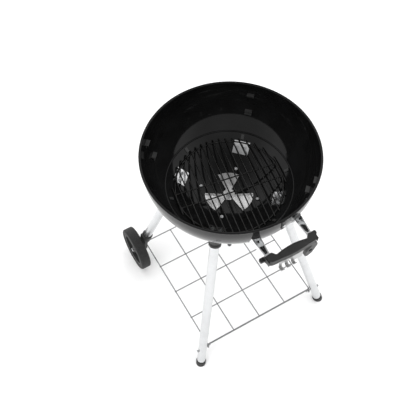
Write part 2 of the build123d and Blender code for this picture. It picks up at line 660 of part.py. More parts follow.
spacers = []
rail_bolts = []
rail_nuts = []
for x, y in rail_bolt_points:
    upright = Plane(origin=(x, y, 0))
    spacer = rod(upright, 7.0, RAIL_TOP, RAIL_TOP + 30) - OUTER_BOWL
    spacers.append(spacer - rod(upright, BOLT_RADIUS + HOLE_CLEARANCE, 600, 680))
    seat = bowl_surface_height(math.hypot(x, y), BOWL_WALL)
    bolt_top = seat + NUT_HEIGHT
    shank = rod(upright, BOLT_RADIUS, RAIL_TOP - RAIL_THICKNESS - 1, bolt_top)
    head = nut(upright, NUT_RADIUS, RAIL_TOP - RAIL_THICKNESS - 4.5, RAIL_TOP - RAIL_THICKNESS)
    rail_bolts.append(shank + head)
    rail_nut = nut(upright, NUT_RADIUS, seat - 6, seat + NUT_HEIGHT - 1) & INNER_BOWL
    rail_nuts.append(rail_nut - rod(upright, BOLT_RADIUS, 600, 680))
parts["pan_rail_spacers"] = Compound(children=spacers)
parts["pan_rail_bolts"] = Compound(children=rail_bolts)
parts["pan_rail_nuts"] = Compound(children=rail_nuts)

PAN_TOP = RAIL_LEDGE_HEIGHT + PAN_WALL + 0.3


def make_ash_pan():
    pan = rod(Plane.XY, PAN_FLANGE_RADIUS, PAN_TOP - PAN_WALL, PAN_TOP)
    floor_radius = PAN_RADIUS - PAN_TAPER
    body = Cone(floor_radius, PAN_RADIUS, PAN_DEPTH)
    hollow = Cone(floor_radius - PAN_WALL, PAN_RADIUS - PAN_WALL, PAN_DEPTH)
    pan += Pos(0, 0, PAN_TOP - PAN_DEPTH / 2) * body
    pan -= Pos(0, 0, PAN_TOP - PAN_DEPTH / 2 + PAN_WALL) * hollow
    return pan


parts["ash_pan"] = make_ash_pan()
PULL_WIRE_RADIUS = 2.5
PULL_HALF_WIDTH = 22.0
PULL_REACH = 30.0
pull_y = -(PAN_FLANGE_RADIUS - 8)
pull_path = FilletPolyline(
    (-PULL_HALF_WIDTH, pull_y, PAN_TOP + PULL_WIRE_RADIUS),
    (-PULL_HALF_WIDTH, pull_y - PULL_REACH, PAN_TOP + PULL_WIRE_RADIUS),
    (PULL_HALF_WIDTH, pull_y - PULL_REACH, PAN_TOP + PULL_WIRE_RADIUS),
    (PULL_HALF_WIDTH, pull_y, PAN_TOP + PULL_WIRE_RADIUS),
    radius=9,
)
pull_section = Plane(origin=pull_path @ 0, z_dir=pull_path % 0) * Circle(PULL_WIRE_RADIUS)
parts["ash_pan_pull"] = sweep(pull_section, path=pull_path)


# ---- front handle -----------------------------------------------------------------------
ARM_FLANGE_WIDTH = 27.0
ARM_FLANGE_THICKNESS = 4.0
ARM_FLANGE_BOTTOM = 772.0
ARM_ROOT_WIDTH = 25.0
ARM_ROOT_Y = -278.0
ARM_TIP_WIDTH = 15.0
ARM_TIP_TOP = ARM_TOP - 6.0
ARM_TIP_BOTTOM = ARM_TOP - 17.0
POCKET_START_Y = -264.0
POCKET_END_Y = -329.0
POCKET_START_FLOOR = 794.0
POCKET_ROOT_HALF = 11.0
POCKET_TIP_HALF = 4.5
POCKET_END_FLOOR = 805.0
ARM_SCREW_Y = -343.5
ARM_SCREW_RADIUS = 2.5
ARM_SCREW_HEAD_RADIUS = 4.5
BOLT_HEAD_HEIGHT = 3.5
ARM_BOLT_RECESS_RADIUS = 2.0


def tapered_plan(x, y_start, y_bend, y_end, start_half, end_half):
    """A tall prism, straight from y_start to y_bend and then tapering to y_end."""
    plan = Polyline(
        (x - start_half, y_start),
        (x - start_half, y_bend),
        (x - end_half, y_end),
        (x + end_half, y_end),
        (x + start_half, y_bend),
        (x + start_half, y_start),
        close=True,
    )
    return Pos(0, 0, 740) * extrude(make_face(plan), amount=120, dir=(0, 0, 1))


def make_arm(side):
    """A cast arm: a flange on the wall and a tapered open-topped tray that reaches the grip."""
    x = side * ARM_X
    flange = covering(ARM_FLANGE_THICKNESS) & block(
        (x - ARM_FLANGE_WIDTH / 2, x + ARM_FLANGE_WIDTH / 2), (-FAR, 0), (ARM_FLANGE_BOTTOM, ARM_TOP)
    )
    side_view = [
        (-240, ARM_TOP),
        (ARM_TIP_Y, ARM_TIP_TOP),
        (ARM_TIP_Y, ARM_TIP_BOTTOM),
        (-310, ARM_TOP - 22),
        (-240, ARM_TOP - 38),
    ]
    beam = prism_yz(side_view, x - ARM_ROOT_WIDTH, x + ARM_ROOT_WIDTH)
    beam &= tapered_plan(x, -240, ARM_ROOT_Y, ARM_TIP_Y, ARM_ROOT_WIDTH / 2, ARM_TIP_WIDTH / 2)
    beam -= OUTER_BOWL
    pocket_view = [
        (POCKET_START_Y, POCKET_START_FLOOR),
        (POCKET_END_Y, POCKET_END_FLOOR),
        (POCKET_END_Y, 860),
        (POCKET_START_Y, 860),
    ]
    pocket = prism_yz(pocket_view, x - ARM_ROOT_WIDTH, x + ARM_ROOT_WIDTH)
    pocket &= tapered_plan(x, POCKET_START_Y, ARM_ROOT_Y, POCKET_END_Y, POCKET_ROOT_HALF, POCKET_TIP_HALF)
    pocket -= bowl_cavity(-ARM_FLANGE_THICKNESS)
    arm = flange + (beam - pocket)
    for plane in arm_bolt_planes:
        arm -= rod(plane, BOLT_RADIUS + HOLE_CLEARANCE, -5, 6)
        arm -= rod(plane, BOLT_HEAD_RADIUS - 2, ARM_FLANGE_THICKNESS, 14)
    arm -= Pos(x, ARM_SCREW_Y, ARM_TIP_BOTTOM) * Cylinder(ARM_SCREW_RADIUS, 60)
    arm -= Pos(x, ARM_SCREW_Y, ARM_TIP_BOTTOM - 10) * Cylinder(ARM_SCREW_HEAD_RADIUS, 20)
    return arm


arms = {side_name: make_arm(side) for side_name, side in SIDES.items()}
for side_name in SIDES:
    parts["handle_arm_" + side_name] = arms[side_name]

arm_bolts = []
wall_nuts = []
for plane in arm_bolt_planes:
    shank = rod(plane, BOLT_RADIUS, -BOWL_WALL - NUT_HEIGHT - 2, ARM_FLANGE_THICKNESS + 1)
    head = rod(plane, SMALL_HEAD_RADIUS, ARM_FLANGE_THICKNESS, ARM_FLANGE_THICKNESS + BOLT_HEAD_HEIGHT)
    recess = rod(plane, ARM_BOLT_RECESS_RADIUS, ARM_FLANGE_THICKNESS + 2, ARM_FLANGE_THICKNESS + 9)
    arm_bolts.append(shank + head - recess)
    arm_nut = nut(plane, NUT_RADIUS, -BOWL_WALL - NUT_HEIGHT, 2) & INNER_BOWL
    wall_nuts.append(arm_nut - rod(plane, BOLT_RADIUS, -20, 20))
parts["handle_arm_bolts"] = Compound(children=arm_bolts)

GRIP_DEPTH = 60.0
GRIP_EDGE_ROUNDING = 8.0
RIDGE_COUNT = 11
RIDGE_PITCH = 9.0
SHOULDER_START = 54.0
SHOULDER_END = 64.0
GRIP_CORNER = 8.0
BLOCK_SLOPE_Y = -358.0
WAIST_ROUNDING = 6.0


def make_grip():
    """The grip: a plan with a waist, an arched top and a rounded outer edge, all cut from one another."""
    half = GRIP_HALF_LENGTH
    shoulder = GRIP_BLOCK_INNER_Y - 1
    inner_valley = GRIP_INNER_Y - GRIP_BULGE
    outer_end = GRIP_OUTER_Y + GRIP_BULGE
    flat = half - GRIP_CORNER
    corner_y = outer_end + GRIP_CORNER
    left_valley = (-SHOULDER_START, inner_valley)
    right_valley = (SHOULDER_START, inner_valley)
    plan_lines = Curve() + [
        Polyline((-half, shoulder - 2), (-SHOULDER_END, shoulder), left_valley),
        ThreePointArc(left_valley, (0, GRIP_INNER_Y), right_valley),
        Polyline(right_valley, (SHOULDER_END, shoulder), (half, shoulder - 2)),
        Polyline((half, shoulder - 2), (half, corner_y), (flat, outer_end)),
        ThreePointArc((flat, outer_end), (0, GRIP_OUTER_Y), (-flat, outer_end)),
        Polyline((-flat, outer_end), (-half, corner_y), (-half, shoulder - 2)),
    ]
    plan = make_face(plan_lines)
    inner_corners = plan.vertices().filter_by(lambda corner: corner.Y > corner_y + 1)
    waist = inner_corners.filter_by(lambda corner: abs(corner.X) < half - 1)
    plan = fillet(waist, WAIST_ROUNDING)
    block_bottom = GRIP_BOTTOM - GRIP_BLOCK_DROP
    grip = Pos(0, 0, block_bottom) * extrude(plan, amount=GRIP_DEPTH, dir=(0, 0, 1))

    front_y = GRIP_OUTER_Y - 20
    block_start = half - GRIP_BLOCK_WIDTH
    arch = Curve() + [
        ThreePointArc(
            (-half - 1, front_y, GRIP_END_TOP - 2),
            (0, front_y, GRIP_MIDDLE_TOP),
            (half + 1, front_y, GRIP_END_TOP - 2),
        ),
        Polyline(
            (half + 1, front_y, GRIP_END_TOP - 2),
            (half + 1, front_y, block_bottom),
            (block_start, front_y, block_bottom),
            (block_start - 6, front_y, GRIP_BOTTOM),
            (6 - block_start, front_y, GRIP_BOTTOM),
            (-block_start, front_y, block_bottom),
            (-half - 1, front_y, block_bottom),
            (-half - 1, front_y, GRIP_END_TOP - 2),
        ),
    ]
    grip &= extrude(make_face(arch), amount=120, dir=(0, 1, 0))

    top = GRIP_MIDDLE_TOP + 1
    end_profile = make_face(
        Polyline(
            (BLOCK_SLOPE_Y, block_bottom - 1),
            (GRIP_OUTER_Y, GRIP_BOTTOM - 1),
            (GRIP_OUTER_Y, top),
            (GRIP_BLOCK_INNER_Y, top),
            (GRIP_BLOCK_INNER_Y, block_bottom - 1),
            close=True,
        )
    )
    end_profile = fillet(end_profile.vertices().sort_by(Axis.Y)[-2:], GRIP_EDGE_ROUNDING)
    rounded = extrude(Plane.YZ * end_profile, amount=2 * half + 4)
    grip &= Pos(-half - 2, 0, 0) * rounded
    for number in range(RIDGE_COUNT):
        x = (number - (RIDGE_COUNT - 1) / 2) * RIDGE_PITCH
        reach = GRIP_INNER_Y - 3 - GRIP_BULGE * (x / SHOULDER_START) ** 2
        grip -= Pos(x, reach, GRIP_MIDDLE_TOP - 1) * Rot(30, 0, 0) * Box(2.0, 10.0, 3.0)
    for arm in arms.values():
        grip -= arm
    return grip


grip = make_grip()

ARM_SCREW_TOP = 822.0
arm_screws = []
for side in SIDES.values():
    axis = Plane(origin=(side * ARM_X, ARM_SCREW_Y, 0))
    seat = ARM_TIP_BOTTOM
    shank = rod(axis, ARM_SCREW_RADIUS, seat - 1, ARM_SCREW_TOP)
    head = rod(axis, ARM_SCREW_HEAD_RADIUS, seat - 3, seat)
    arm_screws.append(shank + head)
    grip -= rod(axis, ARM_SCREW_HEAD_RADIUS + HOLE_CLEARANCE, seat - 20, seat)
    grip -= rod(axis, ARM_SCREW_RADIUS, seat - 2, ARM_SCREW_TOP)
parts["handle_screws"] = Compound(children=arm_screws)

CAP_THICKNESS = 3.0
CAP_PEG_RADIUS = 4.0
PRONG_REACH = 16.0
PRONG_INNER_Y = -328.0
PRONG_OUTER_Y = -342.0
PRONG_BOTTOM = 794.0
PRONG_TOP = 803.0
CAP_OUTER_Y = -364.0
CAP_TOP = 822.0
CAP_PEG_Y = -358.0
CAP_PEG_HEIGHT = 815.0
cap_outline = [
    (GRIP_BLOCK_INNER_Y - 2, CAP_TOP),
    (PRONG_INNER_Y, PRONG_TOP),
    (PRONG_INNER_Y, PRONG_BOTTOM),
    (PRONG_OUTER_Y, PRONG_BOTTOM),
    (-352, PRONG_TOP - 2),
    (CAP_OUTER_Y, PRONG_TOP),
    (CAP_OUTER_Y, CAP_TOP),
]
for side_name, side in SIDES.items():
    face_x = side * GRIP_HALF_LENGTH
    cap = prism_yz(cap_outline, face_x, face_x + side * CAP_THICKNESS)
    prong_x = (face_x, face_x + side * PRONG_REACH)
    prong = block(prong_x, (PRONG_OUTER_Y, PRONG_INNER_Y), (PRONG_BOTTOM, PRONG_TOP))
    cap += chamfer(prong.edges().filter_by(Axis.Z), 3.0)
    peg_start = GRIP_HALF_LENGTH - 12
    peg_end = GRIP_HALF_LENGTH + 1
    peg = along_x(peg_start, peg_end, CAP_PEG_RADIUS, CAP_PEG_Y, CAP_PEG_HEIGHT, side)
    grip -= peg
    parts["handle_end_cap_" + side_name] = cap + peg

# ---- hooks and lug under the grip ---------------------------------------------------------
PLATE_Y = -365.0
PLATE_LEFT = -50.5
PLATE_RIGHT = 33.5
BIG_PLATE_LEFT = 3.5
PLATE_FLANGE_Y = -351.0
PLATE_SHEET = 2.0
STRIP_BOTTOM = 784.0
BIG_PLATE_BOTTOM = 762.0
HOOK_XS = (-45.0, -23.5, -2.0)
HOOK_WIDTH = 11.0
HOOK_BOTTOM = 765.0
HOOK_REACH = 16.0
HOOK_TIP_RISE = 10.0
HOOK_BEND_RADIUS = 6.0
PLATE_SCREW_XS = (-34.0, 18.0)
PLATE_SCREW_Y = -357.0
PLATE_SCREW_RADIUS = 2.0
PLATE_SCREW_HEAD_RADIUS = 4.0
PLATE_SCREW_HEAD = 2.5

front_face = PLATE_Y - PLATE_SHEET
tool_plate = block((PLATE_LEFT, PLATE_RIGHT), (front_face, PLATE_Y), (STRIP_BOTTOM, GRIP_BOTTOM))
tool_plate += block(
    (BIG_PLATE_LEFT, PLATE_RIGHT), (front_face, PLATE_Y), (BIG_PLATE_BOTTOM, GRIP_BOTTOM)
)
tool_plate += block(
    (PLATE_LEFT, PLATE_RIGHT), (front_face, PLATE_FLANGE_Y), (GRIP_BOTTOM - PLATE_SHEET, GRIP_BOTTOM)
)
for hook_x in HOOK_XS:
    middle_y = PLATE_Y - PLATE_SHEET / 2
    hook_path = FilletPolyline(
        (hook_x, middle_y, STRIP_BOTTOM + 2),
        (hook_x, middle_y, HOOK_BOTTOM),
        (hook_x, middle_y - HOOK_REACH, HOOK_BOTTOM),
        (hook_x, middle_y - HOOK_REACH, HOOK_BOTTOM + HOOK_TIP_RISE),
        radius=HOOK_BEND_RADIUS,
    )
    hook_start = Plane(origin=hook_path @ 0, x_dir=(1, 0, 0), z_dir=(0, 0, -1))
    section = hook_start * Rectangle(HOOK_WIDTH, PLATE_SHEET)
    tool_plate += sweep(section, path=hook_path)
plate_screws = []
for screw_x in PLATE_SCREW_XS:
    axis = Plane(origin=(screw_x, PLATE_SCREW_Y, 0))
    seat = GRIP_BOTTOM - PLATE_SHEET
    hole = rod(axis, PLATE_SCREW_RADIUS, seat - 5, seat + 14)
    plate_screws.append(hole + rod(axis, PLATE_SCREW_HEAD_RADIUS, seat - PLATE_SCREW_HEAD, seat))
    tool_plate -= rod(axis, PLATE_SCREW_RADIUS + HOLE_CLEARANCE, seat - 5, seat + 5)
    grip -= hole
parts["tool_hook_plate"] = tool_plate
parts["tool_plate_screws"] = Compound(children=plate_screws)

LUG_FRONT_Y = -368.0
LUG_BACK_Y = -355.0
LUG_TOP = GRIP_BOTTOM - GRIP_BLOCK_DROP
LUG_TONGUE_RISE = 8.0
LUG_RECESS_RADIUS = 7.0
LUG_RECESS_X = 61.7
LUG_RECESS_HEIGHT = 773.0
lug_outline = [
    (80, GRIP_BOTTOM),
    (84, LUG_TOP),
    (85, 788),
    (69.7, 752),
    (53.7, 742),
    (43.7, 750),
    (47.7, 770),
    (64, LUG_TOP),
    (66, GRIP_BOTTOM),
]
lug = prism_xz(lug_outline, LUG_BACK_Y, LUG_FRONT_Y) - grip
recess = Rot(90, 0, 0) * Cylinder(LUG_RECESS_RADIUS, 12)
lug -= Pos(LUG_RECESS_X, LUG_FRONT_Y, LUG_RECESS_HEIGHT) * recess
lug_tongue = block((66, 78), (-366, -358), (LUG_TOP - 1, LUG_TOP + LUG_TONGUE_RISE))
lug += lug_tongue
grip -= lug_tongue
parts["opener_lug"] = lug
parts["handle_grip"] = grip

# ---- small pieces on the bowl's wall --------------------------------------------------------
RIM_TAB_TOP = 861.5
RIM_TAB_BOTTOM = 812.0
RIM_TAB_TOP_HALF = 7.0
RIM_TAB_BOTTOM_HALF = 4.0
RIM_TAB_THICKNESS = 4.0
tab_outline = [
    (RIM_TAB_X - RIM_TAB_TOP_HALF, RIM_TAB_TOP),
    (RIM_TAB_X + RIM_TAB_TOP_HALF, RIM_TAB_TOP),
    (RIM_TAB_X + RIM_TAB_BOTTOM_HALF, RIM_TAB_BOTTOM),
    (RIM_TAB_X - RIM_TAB_BOTTOM_HALF, RIM_TAB_BOTTOM),
]
rim_tab = covering(RIM_TAB_THICKNESS) & prism_xz(tab_outline, -FAR, 0)
rim_tab -= rod(rim_tab_plane, BOLT_RADIUS + HOLE_CLEARANCE, -5, 10)
parts["rim_hook_tab"] = rim_tab
rivet = rod(rim_tab_plane, BOLT_RADIUS, -BOWL_WALL - 1, 5) + rod(rim_tab_plane, 4.5, 4.05, 6)
rivet += rod(rim_tab_plane, 5.0, -BOWL_WALL - 1.5, 0) & INNER_BOWL
parts["rim_tab_rivet"] = rivet

screw = rod(wall_screw_plane, BOLT_RADIUS, -BOWL_WALL - 1, NUT_HEIGHT + 3)
screw += rod(wall_screw_plane, 5.0, -BOWL_WALL - 3.5, 0) & INNER_BOWL
parts["wall_screw"] = screw
wall_nut = nut(wall_screw_plane, NUT_RADIUS, -2, NUT_HEIGHT) - OUTER_BOWL
wall_nuts.append(wall_nut - rod(wall_screw_plane, BOLT_RADIUS, -10, 20))
parts["wall_nuts"] = Compound(children=wall_nuts)

# ---- write every part -------------------------------------------------------------------------
os.makedirs("parts", exist_ok=True)
for name, shape in parts.items():
    export_step(shape, f"parts/{name}.step")
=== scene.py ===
import math

import bmesh
import bpy
from mathutils import Matrix, Vector


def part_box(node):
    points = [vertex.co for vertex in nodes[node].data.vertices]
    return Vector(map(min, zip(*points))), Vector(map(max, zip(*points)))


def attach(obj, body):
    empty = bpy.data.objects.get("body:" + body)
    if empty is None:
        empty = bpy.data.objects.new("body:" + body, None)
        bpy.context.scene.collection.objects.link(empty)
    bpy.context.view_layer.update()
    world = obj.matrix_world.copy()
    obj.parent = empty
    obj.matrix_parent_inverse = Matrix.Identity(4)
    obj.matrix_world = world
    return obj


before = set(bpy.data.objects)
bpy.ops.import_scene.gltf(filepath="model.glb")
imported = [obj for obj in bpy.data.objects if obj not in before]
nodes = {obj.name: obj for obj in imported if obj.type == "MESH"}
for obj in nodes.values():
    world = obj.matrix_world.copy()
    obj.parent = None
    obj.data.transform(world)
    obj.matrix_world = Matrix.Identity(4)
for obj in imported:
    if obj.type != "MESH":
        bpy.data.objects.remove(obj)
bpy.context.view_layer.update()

CORNERS = ("front_left", "front_right", "rear_left", "rear_right")
SIDES = {"left": -1, "right": 1}
MM = 0.001


# ---- node helpers --------------------------------------------------------------
class Shader:
    """A material under construction: a Principled shader and the nodes that feed it."""

    def __init__(self, name):
        self.material = bpy.data.materials.new(name)
        self.material.use_nodes = True
        self.tree = self.material.node_tree
        self.principled = self.tree.nodes["Principled BSDF"]
        self.coordinates = self.tree.nodes.new("ShaderNodeTexCoord").outputs["Object"]
        self.last_bump = None

    def link(self, output, target):
        self.tree.links.new(output, target)

    def fixed(self, **values):
        """Sets sockets that are the same all over the surface. Words are joined by underscores."""
        for word, value in values.items():
            self.principled.inputs[word.replace("_", " ")].default_value = value

    def stretched(self, scale):
        node = self.tree.nodes.new("ShaderNodeMapping")
        node.inputs["Scale"].default_value = scale
        self.link(self.coordinates, node.inputs["Vector"])
        return node.outputs["Vector"]

    def noise(self, size_mm, detail=4.0, roughness=0.55, stretch=(1, 1, 1), distortion=0.0):
        """Noise whose features are about size_mm across, from 0 to 1."""
        node = self.tree.nodes.new("ShaderNodeTexNoise")
        node.inputs["Scale"].default_value = 1.0 / (size_mm * MM)
        node.inputs["Detail"].default_value = detail
        node.inputs["Roughness"].default_value = roughness
        node.inputs["Distortion"].default_value = distortion
        self.link(self.stretched(stretch), node.inputs["Vector"])
        return node.outputs["Fac"]

    def cells(self, size_mm):
        """Distance to the nearest of scattered points that are about size_mm apart."""
        node = self.tree.nodes.new("ShaderNodeTexVoronoi")
        node.inputs["Scale"].default_value = 1.0 / (size_mm * MM)
        self.link(self.coordinates, node.inputs["Vector"])
        return node.outputs["Distance"]

    def remap(self, source, low_in, high_in, low_out, high_out):
        node = self.tree.nodes.new("ShaderNodeMapRange")
        node.inputs["From Min"].default_value = low_in
        node.inputs["From Max"].default_value = high_in
        node.inputs["To Min"].default_value = low_out
        node.inputs["To Max"].default_value = high_out
        self.link(source, node.inputs["Value"])
        return node.outputs["Result"]

    def colours(self, source, stops):
        """Turns a 0 to 1 value into a colour through (position, colour) stops."""
        node = self.tree.nodes.new("ShaderNodeValToRGB")
        ramp = node.color_ramp
        while len(ramp.elements) < len(stops):
            ramp.elements.new(0.5)
        for element, (position, colour) in zip(ramp.elements, stops):
            element.position = position
            element.color = (*colour, 1.0)
        self.link(source, node.inputs["Fac"])
        return node.outputs["Color"]

    def mixed(self, factor, first, second):
        node = self.tree.nodes.new("ShaderNodeMix")
        node.data_type = "RGBA"
        self.link(factor, node.inputs["Factor"])
        for socket, value in ((node.inputs[6], first), (node.inputs[7], second)):
            if isinstance(value, tuple):
                socket.default_value = (*value, 1.0)
            else:
                self.link(value, socket)
        return node.outputs[2]

    def base(self, colour):
        self.link(colour, self.principled.inputs["Base Color"])

    def rough(self, value):
        self.link(value, self.principled.inputs["Roughness"])

    def bump(self, height, depth_mm, strength=1.0):
        """Adds relief of a real depth. Later calls build on earlier ones."""
        node = self.tree.nodes.new("ShaderNodeBump")
        node.inputs["Distance"].default_value = depth_mm * MM
        node.inputs["Strength"].default_value = strength
        self.link(height, node.inputs["Height"])
        if self.last_bump is not None:
            self.link(self.last_bump, node.inputs["Normal"])
        self.last_bump = node.outputs["Normal"]
        self.link(self.last_bump, self.principled.inputs["Normal"])


def grey(level, tint=0.0):
    """A grey, slightly blue when tint is above 0 and slightly warm when it is below."""
    return (level * (1 - tint), level, level * (1 + tint))


# ---- materials --------------------------------------------------------------------
def make_enamel():
    """Glossy black porcelain enamel: faint colour drift, a soft orange-peel surface and fine dust."""
    s = Shader("porcelain_enamel")
    drift = s.noise(60, detail=3)
    specks = s.cells(3.5)
    speck_mask = s.remap(specks, 0.0, 0.10, 0.5, 0.0)
    body = s.colours(drift, [(0.3, grey(0.0035)), (0.7, grey(0.0060, 0.02))])
    s.base(s.mixed(speck_mask, body, grey(0.016, 0.02)))
    s.rough(s.remap(s.noise(18, detail=6), 0.3, 0.7, 0.045, 0.085))
    s.bump(s.noise(9, detail=1), 0.02)
    s.bump(s.noise(1.2, detail=2), 0.002)
    s.fixed(IOR=1.36)
    return s.material


def make_metal(
    name,
    dark,
    light,
    rough_low,
    rough_high,
    brush=(1, 1, 1),
    grain_mm=0.8,
    depth_mm=0.004,
    tint=0.0,
    blotch_mm=35.0,
    stain=None,
):
    """A metal with drifting tone, brushing along one direction, and optional stains of a second colour."""
    s = Shader(name)
    blotches = s.noise(blotch_mm, detail=5)
    brushing = s.noise(grain_mm, detail=3, stretch=brush)
    body = s.colours(blotches, [(0.3, grey(dark, tint)), (0.7, grey(light, tint))])
    if stain is not None:
        stain_mask = s.remap(s.noise(blotch_mm * 0.6, detail=8, distortion=0.6), 0.52, 0.78, 0.0, 0.8)
        body = s.mixed(stain_mask, body, stain)
    s.base(body)
    combined = s.tree.nodes.new("ShaderNodeMath")
    combined.operation = "ADD"
    s.link(s.remap(blotches, 0.3, 0.7, rough_low, rough_high), combined.inputs[0])
    s.link(s.remap(brushing, 0.3, 0.7, -0.03, 0.05), combined.inputs[1])
    s.rough(combined.outputs["Value"])
    s.bump(brushing, depth_mm)
    s.fixed(Metallic=1.0)
    return s.material


def make_plastic(name, dark, light, rough_low, rough_high, grain_mm=0.9, depth_mm=0.03, tint=0.0, dust=0.12):
    """Moulded plastic: fine spark-eroded grain, uneven sheen and a little dust in the low frequency."""
    s = Shader(name)
    drift = s.noise(28, detail=5)
    grain = s.noise(grain_mm, detail=2)
    body = s.colours(drift, [(0.28, grey(dark, tint)), (0.72, grey(light, tint))])
    dust_mask = s.remap(s.noise(14, detail=9, roughness=0.65), 0.55, 0.85, 0.0, dust)
    s.base(s.mixed(dust_mask, body, grey(0.16, -0.03)))
    s.rough(s.remap(s.noise(6, detail=5), 0.3, 0.7, rough_low, rough_high))
    s.bump(grain, depth_mm)
    return s.material


def make_tyre():
    """Hard wheel rubber with a coarse speckled grain."""
    s = Shader("wheel_tyre_grain")
    speckle = s.noise(3.2, detail=4, roughness=0.7)
    drift = s.noise(40, detail=3)
    fine = s.colours(speckle, [(0.34, grey(0.005)), (0.50, grey(0.013)), (0.66, grey(0.042))])
    scuff_mask = s.remap(drift, 0.45, 0.75, 0.0, 0.3)
    s.base(s.mixed(scuff_mask, fine, grey(0.026, -0.04)))
    s.rough(s.remap(speckle, 0.3, 0.7, 0.55, 0.85))
    s.bump(speckle, 0.35)
    s.bump(s.noise(0.9, detail=2), 0.05)
    return s.material


def make_lug():
    """Coated grey casting with a sandy surface."""
    s = Shader("lug_coating")
    sand = s.noise(0.8, detail=3)
    drift = s.noise(16, detail=5)
    s.base(s.colours(drift, [(0.3, grey(0.045)), (0.7, grey(0.080))]))
    s.rough(s.remap(drift, 0.3, 0.7, 0.38, 0.55))
    s.bump(sand, 0.05)
    s.fixed(Metallic=0.25)
    return s.material


enamel = make_enamel()
leg_chrome = make_metal(
    "leg_chrome", 0.62, 0.70, 0.16, 0.24, brush=(1, 1, 0.05), grain_mm=0.6, tint=0.012
)
plate_chrome = make_metal(
    "plate_chrome", 0.80, 0.92, 0.10, 0.20,
    grain_mm=2.0, depth_mm=0.02, tint=0.01, blotch_mm=14, stain=grey(0.45, -0.05),
)
arm_chrome = make_metal(
    "arm_chrome", 0.84, 0.92, 0.07, 0.13, grain_mm=3.0, depth_mm=0.01, tint=0.008
)
wire_plating = make_metal(
    "wire_plating", 0.22, 0.32, 0.26, 0.38, grain_mm=1.5, depth_mm=0.01, tint=0.015, blotch_mm=25
)
grate_steel = make_metal(
    "grate_steel", 0.045, 0.085, 0.36, 0.50,
    grain_mm=1.2, depth_mm=0.02, blotch_mm=22, stain=(0.050, 0.042, 0.036),
)
blade_aluminium = make_metal(
    "blade_aluminium", 0.82, 0.93, 0.16, 0.26,
    grain_mm=0.9, depth_mm=0.01, blotch_mm=18, stain=grey(0.50, -0.04),
)
zinc = make_metal(
    "zinc_fasteners", 0.60, 0.76, 0.20, 0.32, grain_mm=0.6, depth_mm=0.01, blotch_mm=5, tint=0.01
)
sheet_steel = make_metal(
    "sheet_steel", 0.50, 0.62, 0.28, 0.40, brush=(0.06, 1, 1), grain_mm=0.6, blotch_mm=30
)
hook_steel = make_metal(
    "hook_steel", 0.50, 0.60, 0.44, 0.54, brush=(0.06, 1, 1), grain_mm=0.5, blotch_mm=20
)
collar_plastic = make_plastic("collar_plastic", 0.010, 0.018, 0.34, 0.48, dust=0.05)
cap_plastic = make_plastic("cap_plastic", 0.012, 0.022, 0.42, 0.58)
hub_plastic = make_plastic("hub_plastic", 0.016, 0.026, 0.42, 0.56)
hub_lip_plastic = make_plastic("hub_lip_plastic", 0.12, 0.17, 0.35, 0.5)
grip_plastic = make_plastic("grip_plastic", 0.005, 0.009, 0.40, 0.52, grain_mm=0.7, depth_mm=0.03, dust=0.05)
knob_plastic = make_plastic("knob_plastic", 0.012, 0.02, 0.18, 0.30, depth_mm=0.01)
pan_paint = make_plastic("pan_paint", 0.012, 0.022, 0.40, 0.55, grain_mm=0.6, depth_mm=0.01, dust=0.10)
tab_enamel = make_plastic("tab_enamel", 0.016, 0.024, 0.30, 0.42, grain_mm=2.0, depth_mm=0.02, dust=0.03)
tyre = make_tyre()
lug_coating = make_lug()

finishes = {
    enamel: ["bowl"],
    tab_enamel: ["upper_grate_tabs", "lower_grate_tabs", "charcoal_grate_rests", "rim_hook_tab"],
    grate_steel: ["charcoal_grate"],
    leg_chrome: ["leg_" + corner for corner in CORNERS],
    plate_chrome: ["leg_plate_" + corner for corner in CORNERS],
    collar_plastic: ["leg_collar_" + corner for corner in CORNERS],
    cap_plastic: ["foot_cap_front_left", "foot_cap_front_right", "axle_carrier_left", "axle_carrier_right"],
    hub_plastic: ["wheel_hub_" + side for side in SIDES],
    tyre: ["wheel_tyre_" + side for side in SIDES],
    zinc: [
        "axle_bolt_left", "axle_bolt_right", "axle_washers", "shelf_bolts", "shelf_nuts",
        "leg_plate_studs", "leg_plate_nuts", "sweeper_nuts", "sweeper_shaft", "pan_rail_bolts",
        "pan_rail_nuts", "pan_rail_spacers", "handle_arm_bolts", "wall_nuts", "handle_screws",
        "tool_plate_screws", "rim_tab_rivet", "wall_screw",
    ],
    wire_plating: ["wire_shelf", "ash_pan_pull"],
    blade_aluminium: ["ash_sweeper"],
    sheet_steel: ["vent_lever"],
    knob_plastic: ["vent_lever_knob"],
    pan_paint: ["ash_pan", "pan_rail_left", "pan_rail_right"],
    arm_chrome: ["handle_arm_left", "handle_arm_right"],
    grip_plastic: ["handle_grip", "handle_end_cap_left", "handle_end_cap_right"],
    hook_steel: ["tool_hook_plate"],
    lug_coating: ["opener_lug"],
}
for material, names in finishes.items():
    for name in names:
        for slot in nodes[name].material_slots:
            slot.material = material
        if not nodes[name].material_slots:
            nodes[name].data.materials.append(material)


# ---- details that the CAD solids leave out ---------------------------------------------
def finish_piece(name, shape, material, body):
    """Turns a bmesh into an object that rides on a CAD body."""
    mesh = bpy.data.meshes.new(name)
    shape.to_mesh(mesh)
    shape.free()
    mesh.polygons.foreach_set("use_smooth", [True] * len(mesh.polygons))
    piece = bpy.data.objects.new(name, mesh)
    bpy.context.scene.collection.objects.link(piece)
    mesh.materials.append(material)
    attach(piece, body)


def add_nugget(shape, centre, size, turn=0.0):
    """A small flattened drop of weld metal."""
    matrix = Matrix.Translation(centre) @ Matrix.Rotation(turn, 4, "Z") @ Matrix.Diagonal((*size, 1.0))
    bmesh.ops.create_icosphere(shape, subdivisions=2, radius=1.0, matrix=matrix)


